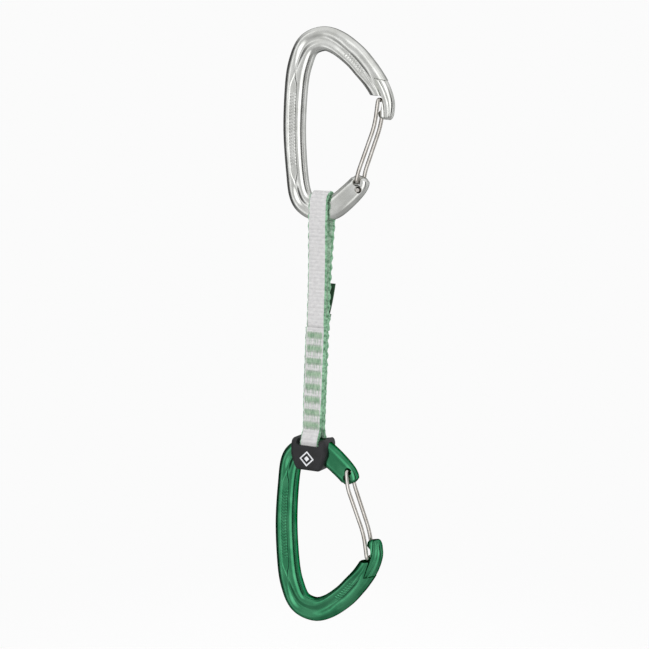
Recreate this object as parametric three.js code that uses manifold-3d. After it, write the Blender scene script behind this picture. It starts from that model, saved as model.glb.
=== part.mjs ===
// Climbing quickdraw: two wiregate carabiners joined by a sewn webbing sling.
// Millimetres. X points to the gate side, Y to the back, Z up. The origin is the inner apex of the
// upper carabiner's basket, where the quickdraw hangs. The lower carabiner is the same forging,
// turned half a turn about X.
import * as THREE from 'three';
import { mergeVertices } from 'three/addons/utils/BufferGeometryUtils.js';
import Module from 'manifold-3d';

const wasm = await Module();
wasm.setup();

// ---- carabiner body ---------------------------------------------------------------------------
const BASKET_WIDTH = 12.0; // thickness of the bar at the basket's apex, in the carabiner's plane
const BASKET_DEPTH = 8.0; // front to back there
const BAR_DROP = 84.3; // basket centreline down to the sling bar's centreline
const BAR_WIDTH = 12.6; // thickness of the sling bar, in plane
const BAR_DEPTH = 7.0;
const SPINE_REACH = 16.0; // apex line out to the spine's centreline
const SPINE_WIDTH = 11.2;
const SPINE_DEPTH = 7.6;
const ARM_WIDTH = 11.8; // the bar between basket and nose, in plane
const ARM_DEPTH = 7.4;
const NOSE_REACH = 34.9; // apex line out to the hook's centreline
const HOOK_WIDTH = 5.4;
const HOOK_DEPTH = 5.2;
const HOOK_LENGTH = 9.6; // crossbar down to the hook's lower end
const LIP_DEPTH = 2.0; // how far the hook's lip stands in under the crossbar
const LIP_DROP = 4.6; // crossbar down to the top of the lip
const LIP_TAPER = 1.8; // height of the lip's slope
const FLAT_RISE = 1.4; // crossbar up to the top of the hook's flat sides
const HINGE_REACH = 19.6; // apex line out to the gate's hinge axis
const HINGE_RISE = 11.4; // sling bar centreline up to the hinge axis
const HINGE_WIDTH = 10.8;
const HINGE_DEPTH = 6.2;

// ---- gate wire --------------------------------------------------------------------------------
const WIRE_DIAMETER = 2.0;
const PIVOT_OFFSET = 4.0; // between the two hinge holes, which is what springs the gate shut
const GATE_OPENING = 30; // degrees
const WIRE_CLEARANCE = 0.3; // wire to the faces it straddles and rests on
const HOLE_CLEARANCE = 0.12; // wire to the wall of its hinge hole
const CROSSBAR_DROP = 30.8; // basket centreline down to the crossbar
const KNEE_IN = 1.7; // crossbar in to the bend under the nose
const KNEE_DROP = 12.4; // crossbar down to that bend
const HEEL_OUT = 0.9; // hinge axis out to the bend above it
const HEEL_RISE = 6.5;

// ---- sling ------------------------------------------------------------------------------------
const WEB_WIDTH = 10.2;
const WEB_THICKNESS = 2.1;
const SLING_LEAN = 2.4; // degrees from upright
const SLING_SEAT = -0.7; // middle of the sling on each bar, from the apex line
const LOOP_CLEARANCE = 0.35; // webbing to the sides of the bar inside it
const CROWN_CLEARANCE = 0.6; // webbing to the bar at the loop's crown
const STRAND_LENGTH = 45.8; // the open two-layer stretch
const SEWN_LENGTH = 59; // the lapped three-layer stretch
const FLARE_LENGTH = 4.0; // sewn stretch down to the top of the lower bar
const SEWN_WIDTH = 11.0;
const SEWN_DEPTH = 6.6;
const JOINT_GAP = 0.3; // between pieces that touch

// ---- bar tacks and label ----------------------------------------------------------------------
const TACK_COUNT = 8;
const TACK_START = 10.4; // top of the sewn stretch down to the middle of the first tack
const TACK_END = 2.4; // middle of the last tack down to the stretch's lower end
const TACK_LENGTH = 3.9;
const TACK_WIDTH = 7.4;
const TACK_THICKNESS = 0.5;
const THREAD_THICKNESS = 0.8; // the thread column through the webbing
const THREAD_SPACING = 4.8;
const LABEL_LENGTH = 16;
const LABEL_WIDTH = 9.6;
const LABEL_THICKNESS = 0.5;
const LABEL_TILT = 21; // degrees away from the webbing

// ---- rubber keeper ----------------------------------------------------------------------------
const KEEPER_WIDTH = 19.6;
const KEEPER_WALL = 1.5;
const KEEPER_FLOOR = 1.0; // wall under the loop's crown
const KEEPER_TOP = 5.4; // lower bar centreline up to the keeper's rim
const KEEPER_DIP = 2.7; // how much lower the rim is at the front
const KEEPER_CORNER = 4.0;
const KEEPER_BEVEL = 1.0;
const EMBLEM_SIZE = 7.6;
const EMBLEM_THICKNESS = 0.7;

// ---- surface detail ---------------------------------------------------------------------------
const BODY_SIDES = 16; // facets round a carabiner bar
const BODY_SQUARENESS = 2.7; // exponent of the bar's section: 2 is an ellipse
const STATION_STEPS = 3; // rings from one named station of the bar to the next
const WIRE_SIDES = 8;
const WIRE_STEPS = 84;
const WEB_SIDES = 8;
const WEB_SQUARENESS = 6;
const WEB_STEPS = 12; // along a strand, and round a loop's crown
const HOLE_SIDES = 20;
const PAST = 5; // how far a cutter runs out past what it cuts

const material = (color, roughness, metalness) =>
  new THREE.MeshStandardMaterial({ color, roughness, metalness });
const polishedAluminium = material(0xc9cac8, 0.28, 1);
const greenAluminium = material(0x2f7a50, 0.3, 1);
const stainlessWire = material(0xb9b4ae, 0.25, 1);
const whiteWebbing = material(0xd8d6d4, 0.85, 0);
const greenThread = material(0x9cb89a, 0.8, 0);
const greenLabel = material(0x0c2a14, 0.8, 0);
const blackRubber = material(0x26262a, 0.7, 0);
const whiteRubber = material(0xd9dade, 0.6, 0);

// ---- places that follow from the sizes --------------------------------------------------------
const basketZ = BASKET_WIDTH / 2;
const barZ = basketZ - BAR_DROP;
const hingeZ = barZ + HINGE_RISE;
const wireRadius = WIRE_DIAMETER / 2;
const hookWallX = NOSE_REACH - HOOK_WIDTH / 2;
const crossbar = { x: hookWallX - WIRE_CLEARANCE - wireRadius, z: basketZ - CROSSBAR_DROP };
const noseEndZ = crossbar.z - HOOK_LENGTH;
const hingeLegY = HINGE_DEPTH / 2 + WIRE_CLEARANCE + wireRadius;
const noseLegY = HOOK_DEPTH / 2 + WIRE_CLEARANCE + wireRadius;
const loopInside = BAR_DEPTH / 2 + LOOP_CLEARANCE;
const strandTopY = loopInside + WEB_THICKNESS / 2;
const strandEndY = SEWN_DEPTH / 2 - WEB_THICKNESS / 2;
const crownZ = BAR_WIDTH / 2 + CROWN_CLEARANCE - loopInside;
const loopEndZ = -BAR_WIDTH / 2 - 1;
const strandTopZ = loopEndZ - JOINT_GAP;
const sewnTopZ = strandTopZ - STRAND_LENGTH - JOINT_GAP;
const sewnEndZ = sewnTopZ - SEWN_LENGTH;
const lowerLoopTopZ = sewnEndZ - JOINT_GAP;
const lowerBarZ = lowerLoopTopZ - FLARE_LENGTH - BAR_WIDTH / 2;
const tackPitch = (SEWN_LENGTH - TACK_START - TACK_END) / (TACK_COUNT - 1);

// ---- helpers ----------------------------------------------------------------------------------
function solidFrom(geometry) {
  const bare = geometry.clone();
  bare.deleteAttribute('normal');
  bare.deleteAttribute('uv');
  const merged = mergeVertices(bare, 1e-4);
  return new wasm.Manifold(new wasm.Mesh({
    numProp: 3,
    vertProperties: new Float32Array(merged.attributes.position.array),
    triVerts: new Uint32Array(merged.index.array),
  }));
}

function geometryFrom(solid) {
  const mesh = solid.getMesh();
  const geometry = new THREE.BufferGeometry();
  geometry.setAttribute('position', new THREE.BufferAttribute(mesh.vertProperties, 3));
  geometry.setIndex(new THREE.BufferAttribute(mesh.triVerts, 1));
  return geometry;
}

// A closed solid through rings of equal length, each a list of points in order.
function loft(rings) {
  const count = rings[0].length;
  const positions = rings.flat().flatMap((p) => [p.x, p.y, p.z]);
  const middle = (ring) => ring.reduce((sum, p) => sum.add(p), new THREE.Vector3()).divideScalar(count);
  const first = rings.length * count;
  positions.push(...middle(rings[0]), ...middle(rings.at(-1)));
  const faces = [];
  for (let r = 0; r + 1 < rings.length; r += 1) {
    for (let k = 0; k < count; k += 1) {
      const a = r * count + k;
      const b = r * count + ((k + 1) % count);
      faces.push(a, b, a + count, b, b + count, a + count);
    }
  }
  const last = (rings.length - 1) * count;
  for (let k = 0; k < count; k += 1) {
    const next = (k + 1) % count;
    faces.push(next, k, first);
    faces.push(last + k, last + next, first + 1);
  }
  const geometry = new THREE.BufferGeometry();
  geometry.setAttribute('position', new THREE.BufferAttribute(new Float32Array(positions), 3));
  geometry.setIndex(faces);
  return geometry;
}

// One ring of a bar: a squared ellipse, `width` along `across` and `depth` along `side`.
function barRing(centre, across, side, width, depth, sides, squareness) {
  const ring = [];
  for (let k = 0; k < sides; k += 1) {
    const angle = ((k + 0.5) / sides) * 2 * Math.PI;
    const squash = (v) => Math.sign(v) * Math.abs(v) ** (2 / squareness);
    ring.push(centre.clone()
      .addScaledVector(across, squash(Math.cos(angle)) * width / 2)
      .addScaledVector(side, squash(Math.sin(angle)) * depth / 2));
  }
  return ring;
}

const box = (width, depth, height, x, y, z) =>
  new THREE.BoxGeometry(width, depth, height).translate(x, y, z);

const part = (name, geometry, finish) => {
  const mesh = new THREE.Mesh(geometry, finish);
  mesh.name = name;
  return mesh;
};

// ---- carabiner body ---------------------------------------------------------------------------
// The bar's centreline from the hinge end, round the sling bar, up the spine, over the basket and
// down to the nose: [x, z, width in plane, depth].
function bodyStations() {
  const spineMiddleZ = (basketZ + barZ) / 2;
  return [
    [HINGE_REACH + 1.6, hingeZ + 4.6, 3.6, 4.0],
    [HINGE_REACH + 1.2, hingeZ + 3.7, 7.4, 5.6],
    [HINGE_REACH + 0.2, hingeZ + 1.6, HINGE_WIDTH - 1.0, HINGE_DEPTH],
    [HINGE_REACH - 2.8, hingeZ - 1.9, HINGE_WIDTH, HINGE_DEPTH],
    [HINGE_REACH - 9.0, (hingeZ + barZ) / 2 - 1.6, HINGE_WIDTH + 0.6, BAR_DEPTH],
    [5.2, barZ + 0.6, BAR_WIDTH - 0.8, BAR_DEPTH],
    [SLING_SEAT, barZ, BAR_WIDTH, BAR_DEPTH],
    [-7.7, barZ + 1.1, BAR_WIDTH - 1.2, BAR_DEPTH],
    [-SPINE_REACH + 3.4, barZ + 6.4, SPINE_WIDTH + 0.2, SPINE_DEPTH - 0.3],
    [-SPINE_REACH + 1.3, barZ + 18.3, SPINE_WIDTH - 0.4, SPINE_DEPTH],
    [-SPINE_REACH, spineMiddleZ - 2.5, SPINE_WIDTH, SPINE_DEPTH],
    [-SPINE_REACH + 1.1, basketZ - 23, SPINE_WIDTH + 0.4, SPINE_DEPTH],
    [-SPINE_REACH + 3.4, basketZ - 11.4, BASKET_WIDTH, BASKET_DEPTH],
    [-8.2, basketZ - 2.9, BASKET_WIDTH, BASKET_DEPTH],
    [0, basketZ, BASKET_WIDTH, BASKET_DEPTH],
    [8.0, basketZ - 2.4, BASKET_WIDTH, BASKET_DEPTH],
    [NOSE_REACH - 18.3, basketZ - 8.7, ARM_WIDTH + 0.2, ARM_DEPTH],
    [NOSE_REACH - 12.3, basketZ - 15.1, ARM_WIDTH, ARM_DEPTH],
    [NOSE_REACH - 7.9, basketZ - 20.5, ARM_WIDTH - 0.6, ARM_DEPTH],
    [NOSE_REACH - 4.3, crossbar.z + 4.6, ARM_WIDTH - 1.0, ARM_DEPTH - 0.4],
    [NOSE_REACH - 2.0, crossbar.z - 1.2, ARM_WIDTH - 1.6, ARM_DEPTH - 0.8],
    [NOSE_REACH - 1.4, crossbar.z - 5.2, ARM_WIDTH - 2.8, HOOK_DEPTH],
    [NOSE_REACH - 1.2, noseEndZ + 1.2, HOOK_WIDTH + LIP_DEPTH - 0.4, HOOK_DEPTH],
    [NOSE_REACH - 1.3, noseEndZ, HOOK_WIDTH - 1.4, HOOK_DEPTH - 1.8],
  ];
}

// The bar as a plain solid, `grow` larger all round.
function bodyBar(grow = 0) {
  const stations = bodyStations();
  const centres = new THREE.CatmullRomCurve3(stations.map(([x, z]) => new THREE.Vector3(x, 0, z)));
  const sizes = new THREE.CatmullRomCurve3(stations.map(([, , w, d]) => new THREE.Vector3(w, d, 0)));
  const side = new THREE.Vector3(0, 1, 0);
  const steps = (stations.length - 1) * STATION_STEPS;
  const rings = [];
  for (let k = 0; k <= steps; k += 1) {
    const across = side.clone().cross(centres.getTangent(k / steps)).normalize();
    const size = sizes.getPoint(k / steps);
    rings.push(barRing(centres.getPoint(k / steps), across, side,
      size.x + 2 * grow, size.y + 2 * grow, BODY_SIDES, BODY_SQUARENESS));
  }
  return loft(rings);
}

// Cut to the inside of the hook: a shoulder above the crossbar, the crossbar's seat and the lip.
function notchCut() {
  const shoulderZ = crossbar.z + wireRadius + 3 * WIRE_CLEARANCE;
  const lipZ = crossbar.z - LIP_DROP;
  const far = hookWallX - ARM_WIDTH - 2;
  const outline = new THREE.Shape([
    new THREE.Vector2(far, shoulderZ + 0.9),
    new THREE.Vector2(hookWallX - 2.5, shoulderZ + 0.3),
    new THREE.Vector2(hookWallX - 0.6, shoulderZ - 0.1),
    new THREE.Vector2(hookWallX, shoulderZ - 0.7),
    new THREE.Vector2(hookWallX, lipZ),
    new THREE.Vector2(hookWallX - LIP_DEPTH, lipZ - LIP_TAPER),
    new THREE.Vector2(hookWallX - LIP_DEPTH, noseEndZ - PAST),
    new THREE.Vector2(far, noseEndZ - PAST),
  ]);
  const depth = ARM_DEPTH + 2 * PAST;
  return new THREE.ExtrudeGeometry(outline, { depth, bevelEnabled: false })
    .translate(0, 0, -depth / 2)
    .rotateX(Math.PI / 2);
}

// What is cut away on each side of the hook, so that the wire's legs run past two flat faces.
function hookFlats() {
  const length = FLAT_RISE + HOOK_LENGTH + PAST;
  const y = HOOK_DEPTH / 2 + PAST;
  return [-y, y].map((at) =>
    box(4 * ARM_WIDTH, 2 * PAST, length, hookWallX, at, crossbar.z + FLAT_RISE - length / 2));
}

// The two hinge holes: each takes one end of the wire through the gate's whole swing.
function hingeHoles() {
  const half = THREE.MathUtils.degToRad(GATE_OPENING) / 2;
  const radius = wireRadius + PIVOT_OFFSET / 2 * Math.sin(half) + HOLE_CLEARANCE;
  const reach = PIVOT_OFFSET / 2 * Math.cos(half);
  const length = HINGE_DEPTH + 2 * PAST;
  return [1, -1].map((end) => new THREE.CylinderGeometry(radius, radius, length, HOLE_SIDES)
    .translate(HINGE_REACH - end * reach * Math.sin(half), 0, hingeZ + end * reach * Math.cos(half)));
}

function carabinerBody() {
  const cutters = [notchCut(), ...hookFlats(), ...hingeHoles()];
  return geometryFrom(cutters.reduce(
    (solid, cutter) => solid.subtract(solidFrom(cutter)), solidFrom(bodyBar())));
}

// ---- gate wire --------------------------------------------------------------------------------
// Straight runs between corners, each corner rounded by its own radius.
function roundedPath(corners) {
  const path = new THREE.CurvePath();
  let from = corners[0].at;
  for (let k = 1; k + 1 < corners.length; k += 1) {
    const { at, radius } = corners[k];
    const start = at.clone().addScaledVector(from.clone().sub(at).normalize(), radius);
    const end = at.clone().addScaledVector(corners[k + 1].at.clone().sub(at).normalize(), radius);
    path.add(new THREE.LineCurve3(from, start));
    path.add(new THREE.QuadraticBezierCurve3(start, at, end));
    from = end;
  }
  path.add(new THREE.LineCurve3(from, corners.at(-1).at));
  return path;
}

// One wire: through the upper hinge hole, up the front, across behind the lip, down the back and
// through the lower hinge hole.
function gateWire() {
  const corner = (x, y, z, radius) => ({ at: new THREE.Vector3(x, y, z), radius });
  const leg = (side) => [
    corner(HINGE_REACH, side * hingeLegY, hingeZ - side * PIVOT_OFFSET / 2, wireRadius * 1.5),
    corner(HINGE_REACH + HEEL_OUT, side * hingeLegY, hingeZ + HEEL_RISE, 3),
    corner(crossbar.x - KNEE_IN, side * noseLegY, crossbar.z - KNEE_DROP, 5),
    corner(crossbar.x, side * noseLegY, crossbar.z, wireRadius * 1.6),
  ];
  const path = roundedPath([
    corner(HINGE_REACH, HINGE_DEPTH / 2 - 0.6, hingeZ + PIVOT_OFFSET / 2, 0),
    ...leg(-1),
    ...leg(1).reverse(),
    corner(HINGE_REACH, -HINGE_DEPTH / 2 + 0.2, hingeZ - PIVOT_OFFSET / 2, 0),
  ]);
  const circle = [];
  for (let k = 0; k < WIRE_SIDES; k += 1) {
    const angle = (k / WIRE_SIDES) * 2 * Math.PI;
    circle.push(new THREE.Vector2(Math.cos(angle), Math.sin(angle)).multiplyScalar(wireRadius));
  }
  return new THREE.ExtrudeGeometry(new THREE.Shape(circle), {
    steps: WIRE_STEPS,
    extrudePath: path,
    bevelEnabled: false,
  });
}

function carabiner(prefix, finish) {
  const group = new THREE.Group();
  group.add(part(`${prefix}_carabiner_body`, carabinerBody(), finish));
  group.add(part(`${prefix}_gate_wire`, gateWire(), stainlessWire));
  return group;
}

// ---- sling, built hanging straight down from the upper bar's centreline ------------------------
// Webbing along a path in the Y-Z plane, given as [y, z] points.
function webbing(points) {
  const side = new THREE.Vector3(1, 0, 0);
  const path = points.map(([y, z]) => new THREE.Vector3(0, y, z));
  const rings = path.map((centre, k) => {
    const ahead = path[Math.min(k + 1, path.length - 1)];
    const behind = path[Math.max(k - 1, 0)];
    const across = side.clone().cross(ahead.clone().sub(behind)).normalize();
    return barRing(centre, across, side, WEB_THICKNESS, WEB_WIDTH, WEB_SIDES, WEB_SQUARENESS);
  });
  return loft(rings);
}

// A loop round a sling bar: crown up, its two ends at `ends`, each a list of [y, z] from below.
function loopPath(ends) {
  const crown = [];
  for (let k = 0; k <= WEB_STEPS; k += 1) {
    const angle = (k / WEB_STEPS) * Math.PI;
    crown.push([-strandTopY * Math.cos(angle), crownZ + strandTopY * Math.sin(angle)]);
  }
  return [...ends, ...crown, ...ends.toReversed().map(([y, z]) => [-y, z])];
}

function upperLoop() {
  return webbing(loopPath([[-strandTopY, loopEndZ], [-strandTopY, 0]]));
}

// The two outer layers part below the sewn stretch and go round the lower bar, crown down.
function lowerLoop() {
  const barEdge = -BAR_WIDTH / 2;
  const ends = [
    [-strandEndY, barEdge - FLARE_LENGTH],
    [-strandEndY - 0.2, barEdge - 0.69 * FLARE_LENGTH],
    [-strandTopY, barEdge + 0.4 * FLARE_LENGTH],
    [-strandTopY, 0],
  ];
  return webbing(loopPath(ends)).rotateX(Math.PI).translate(0, 0, lowerBarZ);
}

// One of the two open layers, spreading from the sewn stretch up to the sides of the upper bar.
function strand(side) {
  const points = [];
  for (let k = 0; k <= WEB_STEPS; k += 1) {
    const spread = (1 - k / WEB_STEPS) ** 2;
    const y = strandEndY + (strandTopY - strandEndY) * spread;
    points.push([side * y, strandTopZ - STRAND_LENGTH * (k / WEB_STEPS)]);
  }
  return webbing(points);
}

const tackZ = (index) => sewnTopZ - TACK_START - index * tackPitch;

function threads(index, grow) {
  const size = THREAD_THICKNESS + 2 * grow;
  const length = SEWN_DEPTH + 2 * JOINT_GAP + TACK_THICKNESS;
  return [-1, 1].map((side) => box(size, length, size, side * THREAD_SPACING / 2, 0, tackZ(index)));
}

function sewnStretch() {
  const side = new THREE.Vector3(1, 0, 0);
  const across = new THREE.Vector3(0, 1, 0);
  const rings = [sewnTopZ, sewnEndZ].map((z) =>
    barRing(new THREE.Vector3(0, 0, z), across, side, SEWN_DEPTH, SEWN_WIDTH,
      WEB_SIDES, WEB_SQUARENESS));
  let solid = solidFrom(loft(rings));
  for (let k = 0; k < TACK_COUNT; k += 1) {
    for (const thread of threads(k, JOINT_GAP)) {
      solid = solid.subtract(solidFrom(thread));
    }
  }
  return geometryFrom(solid);
}

// A bar tack: a patch of stitching on each face and two columns of thread through the layers.
function barTack(index) {
  const faceY = SEWN_DEPTH / 2 + JOINT_GAP + TACK_THICKNESS / 2;
  const [front, back] = [-faceY, faceY].map((y) =>
    solidFrom(box(TACK_WIDTH, TACK_THICKNESS, TACK_LENGTH, 0, y, tackZ(index))));
  const columns = threads(index, 0).map(solidFrom);
  return geometryFrom(columns.reduce((solid, column) => solid.add(column), front.add(back)));
}

function labelTag() {
  const rootY = strandEndY + WEB_THICKNESS / 2 + JOINT_GAP + LABEL_THICKNESS;
  return box(LABEL_WIDTH, LABEL_THICKNESS, LABEL_LENGTH, 0, 0, LABEL_LENGTH / 2)
    .rotateX(-THREE.MathUtils.degToRad(LABEL_TILT))
    .translate(0, rootY, sewnTopZ + JOINT_GAP);
}

// ---- rubber keeper ----------------------------------------------------------------------------
const pocketY = strandTopY + WEB_THICKNESS / 2 + JOINT_GAP;
const keeperY = pocketY + KEEPER_WALL;
const keeperTopZ = lowerBarZ + KEEPER_TOP;
const keeperEndZ = lowerBarZ - crownZ - pocketY - KEEPER_FLOOR;
const emblemZ = (keeperTopZ - KEEPER_DIP + keeperEndZ) / 2;

function keeperBlock() {
  const x = KEEPER_WIDTH / 2 - KEEPER_BEVEL;
  const y = keeperY - KEEPER_BEVEL;
  const r = KEEPER_CORNER;
  const plan = new THREE.Shape();
  plan.moveTo(-x + r, -y);
  plan.lineTo(x - r, -y).absarc(x - r, -y + r, r, -Math.PI / 2, 0);
  plan.lineTo(x, y - r).absarc(x - r, y - r, r, 0, Math.PI / 2);
  plan.lineTo(-x + r, y).absarc(-x + r, y - r, r, Math.PI / 2, Math.PI);
  plan.lineTo(-x, -y + r).absarc(-x + r, -y + r, r, Math.PI, 1.5 * Math.PI);
  return new THREE.ExtrudeGeometry(plan, {
    depth: keeperTopZ - keeperEndZ - 2 * KEEPER_BEVEL,
    bevelThickness: KEEPER_BEVEL,
    bevelSize: KEEPER_BEVEL,
    bevelSegments: 1,
    curveSegments: 4,
  }).translate(0, 0, keeperEndZ + KEEPER_BEVEL);
}

// The pocket that holds the webbing loop, open at the top.
function keeperPocket() {
  const outline = new THREE.Shape();
  outline.moveTo(-pocketY, keeperTopZ + PAST);
  outline.lineTo(-pocketY, lowerBarZ - crownZ);
  outline.absarc(0, lowerBarZ - crownZ, pocketY, Math.PI, 2 * Math.PI);
  outline.lineTo(pocketY, keeperTopZ + PAST);
  const width = WEB_WIDTH + 2 * JOINT_GAP;
  return new THREE.ExtrudeGeometry(outline, { depth: width, bevelEnabled: false, curveSegments: 8 })
    .translate(0, 0, -width / 2)
    .rotateX(Math.PI / 2)
    .rotateZ(Math.PI / 2);
}

const lozenge = (size, thickness, y) =>
  new THREE.CylinderGeometry(size / 2, size / 2, thickness, 4).translate(0, y, emblemZ);

function rubberKeeper(barPassage) {
  const dipWidth = WEB_WIDTH + 2 * JOINT_GAP;
  const dip = box(dipWidth, keeperY, KEEPER_DIP, 0, -keeperY, keeperTopZ - KEEPER_DIP / 2);
  const recess = lozenge(EMBLEM_SIZE + 2 * JOINT_GAP, 2 * EMBLEM_THICKNESS, -keeperY);
  return geometryFrom([keeperPocket(), barPassage, dip, recess].reduce(
    (solid, cutter) => solid.subtract(solidFrom(cutter)), solidFrom(keeperBlock())));
}

const keeperEmblem = () =>
  lozenge(EMBLEM_SIZE, EMBLEM_THICKNESS, -keeperY + EMBLEM_THICKNESS / 2 - JOINT_GAP);

// ---- the assembly -----------------------------------------------------------------------------
const lean = THREE.MathUtils.degToRad(SLING_LEAN);

const upper = carabiner('upper', polishedAluminium);

const lower = carabiner('lower', greenAluminium);
lower.rotation.x = Math.PI;
lower.position.set(lowerBarZ * Math.sin(lean), 0, 2 * barZ + lowerBarZ * Math.cos(lean));

const sling = new THREE.Group();
sling.rotation.y = lean;
sling.position.set(SLING_SEAT, 0, barZ);
sling.add(part('webbing_upper_loop', upperLoop(), whiteWebbing));
sling.add(part('webbing_front_strand', strand(-1), whiteWebbing));
sling.add(part('webbing_back_strand', strand(1), whiteWebbing));
sling.add(part('webbing_sewn_stretch', sewnStretch(), whiteWebbing));
sling.add(part('webbing_lower_loop', lowerLoop(), whiteWebbing));
for (let k = 0; k < TACK_COUNT; k += 1) {
  sling.add(part(`bar_tack_${k + 1}`, barTack(k), greenThread));
}
sling.add(part('label_tag', labelTag(), greenLabel));

sling.updateMatrixWorld();
lower.updateMatrixWorld();
const lowerBarInSling = sling.matrixWorld.clone().invert().multiply(lower.matrixWorld);
const barPassage = bodyBar(JOINT_GAP).applyMatrix4(lowerBarInSling);
sling.add(part('rubber_keeper', rubberKeeper(barPassage), blackRubber));
sling.add(part('keeper_emblem', keeperEmblem(), whiteRubber));

const quickdraw = new THREE.Group();
quickdraw.add(upper, sling, lower);

export default quickdraw;
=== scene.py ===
"""A climbing quickdraw: two forged wiregate carabiners, a sewn webbing sling and a rubber keeper.

Pieces are drafted in millimetres and settled into the frame in metres. A carabiner is drafted in the
X-Z plane from the inner apex of its basket, the sling straight down from the upper sling bar.
"""
import math

import bpy
import numpy as np
from mathutils import Matrix, Vector


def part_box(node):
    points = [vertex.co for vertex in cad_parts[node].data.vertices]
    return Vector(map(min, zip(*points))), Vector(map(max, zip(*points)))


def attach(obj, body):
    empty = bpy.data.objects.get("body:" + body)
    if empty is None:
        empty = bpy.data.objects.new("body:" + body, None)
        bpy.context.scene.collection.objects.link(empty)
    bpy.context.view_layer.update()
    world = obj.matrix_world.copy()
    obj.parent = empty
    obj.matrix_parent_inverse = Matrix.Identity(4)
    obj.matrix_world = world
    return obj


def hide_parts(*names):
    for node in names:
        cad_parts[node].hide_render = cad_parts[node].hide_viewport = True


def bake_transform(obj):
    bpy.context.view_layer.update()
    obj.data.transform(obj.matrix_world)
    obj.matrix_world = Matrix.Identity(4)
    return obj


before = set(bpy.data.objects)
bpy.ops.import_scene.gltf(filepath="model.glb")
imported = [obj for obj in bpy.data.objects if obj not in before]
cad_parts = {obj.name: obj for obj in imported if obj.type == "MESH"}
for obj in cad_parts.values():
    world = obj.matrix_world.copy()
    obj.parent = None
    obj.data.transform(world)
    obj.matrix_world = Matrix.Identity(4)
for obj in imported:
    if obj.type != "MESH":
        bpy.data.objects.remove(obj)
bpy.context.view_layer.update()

MM = 0.001

# ---- carabiner --------------------------------------------------------------------------------
BASKET_WIDTH, BASKET_DEPTH = 12.0, 8.0
BAR_DROP = 84.3
BAR_WIDTH, BAR_DEPTH = 12.6, 7.0
SPINE_REACH, SPINE_WIDTH, SPINE_DEPTH = 16.0, 11.2, 7.6
ARM_WIDTH, ARM_DEPTH = 11.8, 7.4
NOSE_REACH = 34.9
HOOK_WIDTH, HOOK_DEPTH, HOOK_LENGTH = 5.4, 5.2, 9.6
LIP_DEPTH, LIP_DROP, LIP_TAPER = 2.0, 4.6, 1.8
HINGE_REACH, HINGE_RISE = 19.6, 11.4
HINGE_WIDTH, HINGE_DEPTH = 10.8, 6.2
WIRE_DIAMETER, PIVOT_OFFSET = 2.0, 4.0
WIRE_CLEARANCE = 0.3
CROSSBAR_DROP = 30.8
GATE_SWING = math.radians(30)
HOLE_CLEARANCE = 0.12  # wire to the wall of its hinge hole

basket_z = BASKET_WIDTH / 2
bar_z = basket_z - BAR_DROP
hinge_z = bar_z + HINGE_RISE
hook_wall_x = NOSE_REACH - HOOK_WIDTH / 2
crossbar_x = hook_wall_x - WIRE_CLEARANCE - WIRE_DIAMETER / 2
crossbar_z = basket_z - CROSSBAR_DROP
nose_end_z = crossbar_z - HOOK_LENGTH

# ---- sling, in millimetres down from the upper sling bar --------------------------------------
SLING_LEAN = 2.4
SLING_SEAT = -0.7
WEB_WIDTH, WEB_THICKNESS = 10.2, 2.1
SEWN_WIDTH = 11.0
TURN_OUT = 4.9  # middle of the webbing beside a sling bar, front or back
TURN_RISE = 3.05  # bar centreline to where the turn round it begins
SEWN_OUT = 2.25  # middle of an outer layer in the sewn stretch
STRAND_TOP, STRAND_END = 7.6, 53.4
SEWN_TOP, SEWN_END = 53.7, 112.7
LAP_TOP = 60.2  # cut edge of the layer lapped over the front
LOWER_BAR = 123.3
UPPER_SEAM, LOWER_SEAM = 21.0, 80.0  # where the webbing's pieces meet
TACK_TOP, TACK_PITCH, TACK_COUNT = 64.1, 6.6, 8
TACK_WIDTH, TACK_LENGTH = 7.2, 3.9
RIB_PITCH, SCALLOP_PITCH = 1.9, 5.0
INSIDE_ASIDE = 40.0  # how far the webbing's inside is set aside on its map

upper_low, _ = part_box("upper_carabiner_body")
lower_low, lower_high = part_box("lower_carabiner_body")
sling_lean = Matrix.Rotation(math.radians(SLING_LEAN), 4, "Y")
sling_place = Matrix.Translation((SLING_SEAT, 0, bar_z)) @ sling_lean
# the lower carabiner is the same forging turned over
lower_shift = ((lower_low.x - upper_low.x) / MM, 0, (upper_low.z + lower_high.z) / MM)
lower_place = Matrix.Translation(lower_shift) @ Matrix.Rotation(math.pi, 4, "X")


# ---- drafting helpers -------------------------------------------------------------------------
def active(piece):
    bpy.ops.object.select_all(action="DESELECT")
    piece.select_set(True)
    bpy.context.view_layer.objects.active = piece


def edit(piece, select):
    """Into edit mode on piece, with only the faces for which select(face) holds selected."""
    active(piece)
    bpy.ops.object.mode_set(mode="EDIT")
    bpy.ops.mesh.select_mode(type="FACE")
    bpy.ops.mesh.select_all(action="DESELECT")
    bpy.ops.object.mode_set(mode="OBJECT")
    for face in piece.data.polygons:
        face.select = select(face)
    bpy.ops.object.mode_set(mode="EDIT")


def finish_edit():
    bpy.ops.object.mode_set(mode="OBJECT")


def applied(piece, kind, **settings):
    """Adds a modifier with its settings and applies it."""
    modifier = piece.modifiers.new(kind.lower(), kind)
    for key, value in settings.items():
        setattr(modifier, key, value)
    active(piece)
    bpy.ops.object.modifier_apply(modifier=modifier.name)


def boolean(piece, other, operation="DIFFERENCE"):
    applied(piece, "BOOLEAN", object=other, operation=operation, solver="EXACT")
    bpy.data.objects.remove(other)


def joined(pieces):
    active(pieces[0])
    for piece in pieces:
        piece.select_set(True)
    bpy.ops.object.join()
    return pieces[0]


def copied(piece, name, matrix):
    twin = piece.copy()
    twin.data = piece.data.copy()
    twin.name = name
    twin.data.transform(matrix)
    bpy.context.scene.collection.objects.link(twin)
    return twin


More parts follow.
